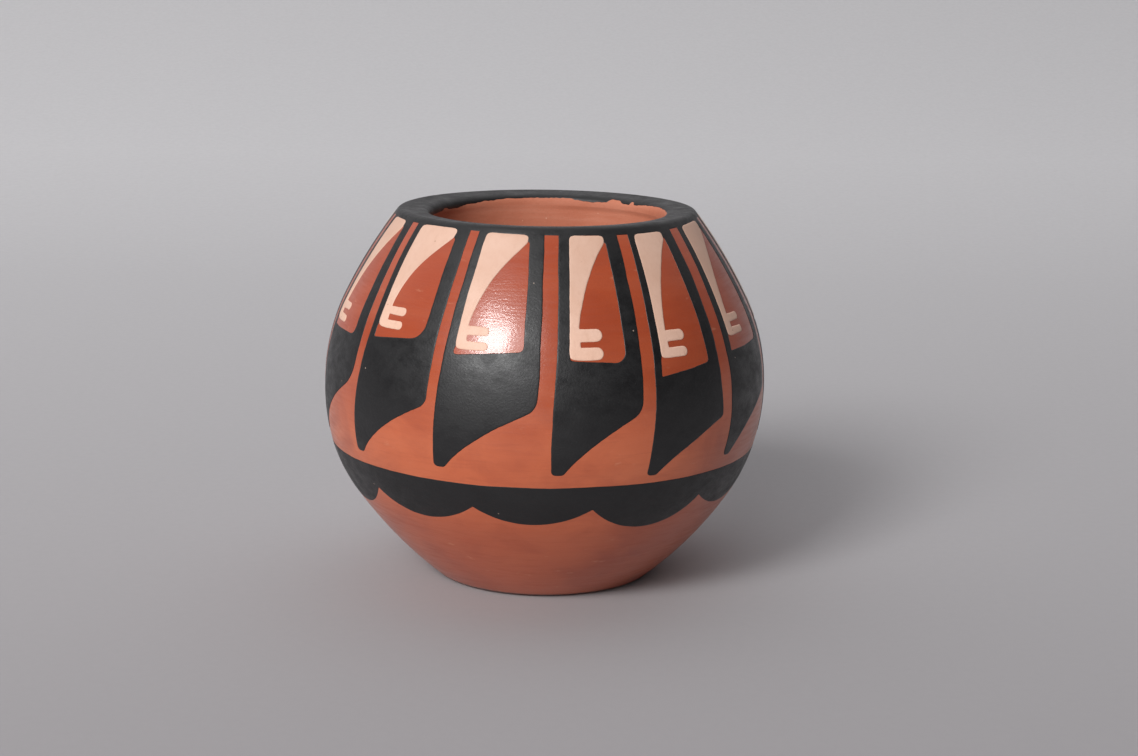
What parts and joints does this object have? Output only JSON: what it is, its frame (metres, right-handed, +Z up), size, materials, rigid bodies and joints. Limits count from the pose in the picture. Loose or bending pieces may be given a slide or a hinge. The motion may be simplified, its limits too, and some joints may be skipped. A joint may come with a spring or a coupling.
{
  "type": "pueblo pottery jar",
  "caption": "Small round hand-coiled jar with a polished red slip, a black rim, a ring of painted black and cream feathers and a scalloped band; holds small things.",
  "frame": {"origin": "centre of the flat foot, on the surface that the jar stands on", "axes": "+Z up along the jar's axis; the pictured side faces -Y"},
  "size_m": [0.076, 0.076, 0.0635],
  "materials": {
    "bare_clay": "unslipped fired clay, smoothed by hand, matt",
    "red_slip": "red clay slip, stone-polished to a gloss",
    "black_paint": "black mineral paint, fired matt",
    "cream_paint": "cream clay paint, satin"
  },
  "bodies": {
    "root": {"clay_body": "bare_clay", "red_slip": "red_slip", "rim_band": "black_paint", "scallop_band": "black_paint", "feather_01": "black_paint", "feather_02": "black_paint", "feather_03": "black_paint", "feather_04": "black_paint", "feather_05": "black_paint", "feather_06": "black_paint", "feather_07": "black_paint", "feather_08": "black_paint", "feather_09": "black_paint", "feather_10": "black_paint", "feather_11": "black_paint", "feather_12": "black_paint", "feather_13": "black_paint", "cream_quill_01": "cream_paint", "cream_quill_02": "cream_paint", "cream_quill_03": "cream_paint", "cream_quill_04": "cream_paint", "cream_quill_05": "cream_paint", "cream_quill_06": "cream_paint", "cream_quill_07": "cream_paint", "cream_quill_08": "cream_paint", "cream_quill_09": "cream_paint", "cream_quill_10": "cream_paint", "cream_quill_11": "cream_paint", "cream_quill_12": "cream_paint", "cream_quill_13": "cream_paint"}
  },
  "joints": []
}
